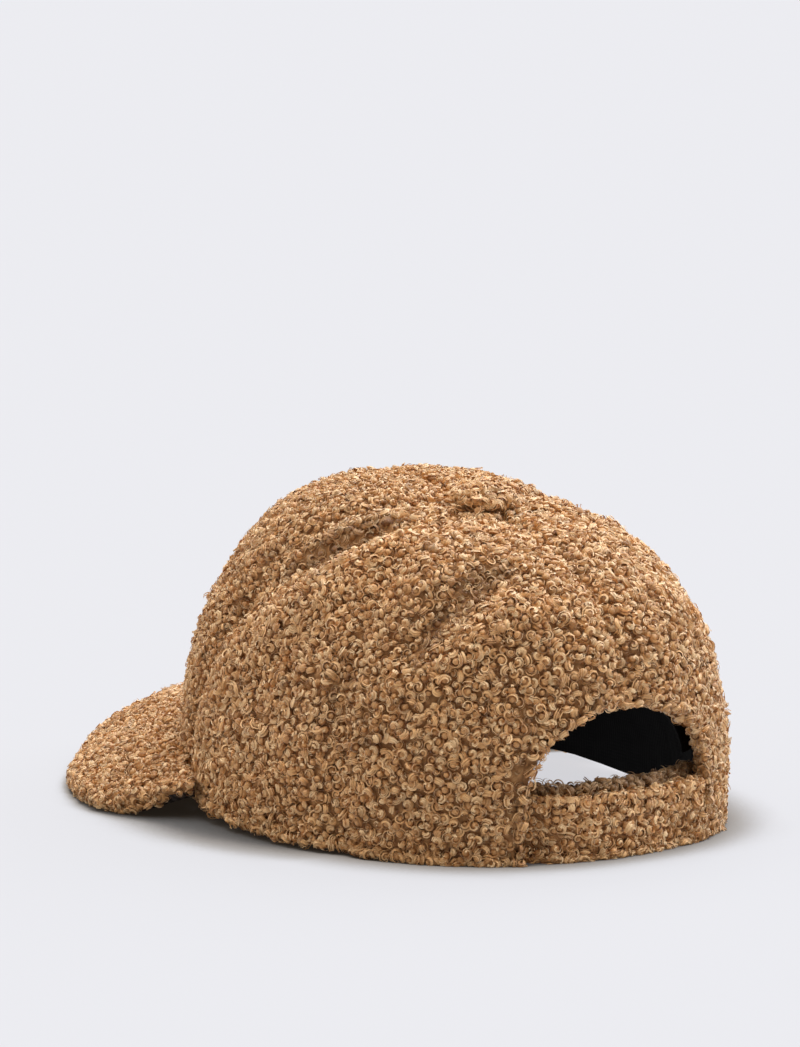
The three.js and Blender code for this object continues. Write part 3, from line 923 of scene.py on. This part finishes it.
def floorMaterial():
    material, nodes, links, shader = newMaterial("pale_floor_painted_shadow")
    place = nodes.new("ShaderNodeTexCoord").outputs["Object"]
    # painted shadow: the floor's glow dims where the cap closes it in
    openness = nodes.new("ShaderNodeAmbientOcclusion")
    openness.inputs["Distance"].default_value = floorLook["shadeReach"]
    # painted shadow, deepened round a spot by the peak
    closed = nearSpot(nodes, links, place, paintedShadowSpot)
    deepened = combine(nodes, links, "POWER", openness.outputs["AO"], closed)
    # painted light: no painted shadow round the open spot
    opened = combine(nodes, links, "MAXIMUM", deepened, nearSpot(nodes, links, place, paintedLightSpot))
    # the glow turns to painted shade where the floor is closed in
    glow = ramp(nodes, [
        (floorLook["shadeTo"], floorLook["shade"]),
        (floorLook["glowFrom"], floorLook["glow"]),
        (floorLook["halfShadeAt"], floorLook["halfShade"]),
    ])
    links.new(opened, glow.inputs["Fac"])
    links.new(glow.outputs["Color"], shader.inputs["Emission Color"])
    shader.inputs["Emission Strength"].default_value = 1.0
    shader.inputs["Base Color"].default_value = (*floorLook["colour"], 1)
    shader.inputs["Roughness"].default_value = 1.0
    shader.inputs["Specular IOR Level"].default_value = 0.0
    return material


def makeFloor():
    (left, front), (right, back) = floorLook["from"], floorLook["to"]
    mesh = bpy.data.meshes.new("floor")
    corners = [(left, front, 0), (right, front, 0), (right, back, 0), (left, back, 0)]
    mesh.from_pydata(corners, [], [(0, 1, 2, 3)])
    mesh.materials.append(floorMaterial())
    floor = bpy.data.objects.new("floor", mesh)
    bpy.context.scene.collection.objects.link(floor)


photoView = {
    "azimuth": 146.485,            # degrees
    "elevation": 9.29,
    "distance": 1500.0,            # from the point aimed at, mm
    "aim": (0.0, 31.5, 60.0),      # a point in the crown, mm
    "aimPixel": (451.3, 633.9),    # where that point lies in the photo
    "frame": (800, 1047),          # pixels of the photo
    "focal": 4353.4,               # in those pixels
    "sensor": 36.0,                # mm
    "farthest": 500.0,             # m
}


def viewAxes():
    a, e = math.radians(photoView["azimuth"]), math.radians(photoView["elevation"])
    toCamera = Vector((math.sin(a) * math.cos(e), -math.cos(a) * math.cos(e), math.sin(e)))
    right = Vector((math.cos(a), math.sin(a), 0))
    return toCamera, right, toCamera.cross(right)


def makeCamera():
    toCamera, right, upward = viewAxes()
    width, height = photoView["frame"]
    aside = (photoView["aimPixel"][0] - width / 2) / photoView["focal"]
    below = (photoView["aimPixel"][1] - height / 2) / photoView["focal"]
    data = bpy.data.cameras.new("photo_camera")
    data.sensor_width = photoView["sensor"]
    data.lens = photoView["focal"] * data.sensor_width / height
    data.clip_end = photoView["farthest"]
    camera = bpy.data.objects.new("photo_camera", data)
    camera.location = (Vector(photoView["aim"]) + toCamera * photoView["distance"]) * mm
    sight = -toCamera - right * aside + upward * below
    camera.rotation_euler = sight.to_track_quat("-Z", "Y").to_euler()
    bpy.context.scene.collection.objects.link(camera)
    bpy.context.scene.camera = camera


lights = {                         # where each comes from, as the camera sees it, and its spread in degrees
    "key": {
        "right": 0.36,
        "behind": 0.30,
        "up": 0.86,
        "strength": 5.4,
        "spread": 92,
        "colour": (0.94, 1.0, 1.09),
    },
    "left_fill": {
        "right": -0.75,
        "behind": 0.05,
        "up": 0.66,
        "strength": 1.2,
        "spread": 80,
        "colour": (1, 0.95, 0.88),
    },
}
skyLook = {"colour": (1.0, 0.85, 0.68), "strength": 0.24}


def makeLights():
    toCamera, right, _ = viewAxes()
    away = Vector((-toCamera.x, -toCamera.y, 0)).normalized()
    for name, light in lights.items():
        data = bpy.data.lights.new(name, "SUN")
        data.energy = light["strength"]
        data.angle = math.radians(light["spread"])
        data.color = light["colour"]
        lamp = bpy.data.objects.new(name, data)
        source = right * light["right"] + away * light["behind"] + Vector((0, 0, light["up"]))
        lamp.rotation_euler = source.to_track_quat("Z", "Y").to_euler()
        bpy.context.scene.collection.objects.link(lamp)
    world = bpy.data.worlds.new("studio")
    world.use_nodes = True
    sky = world.node_tree.nodes["Background"]
    sky.inputs["Color"].default_value = (*skyLook["colour"], 1)
    sky.inputs["Strength"].default_value = skyLook["strength"]
    bpy.context.scene.world = world
    bpy.context.scene.view_settings.view_transform = "Standard"


makeFloor()
makeCamera()
makeLights()
print("floor, camera and light made")
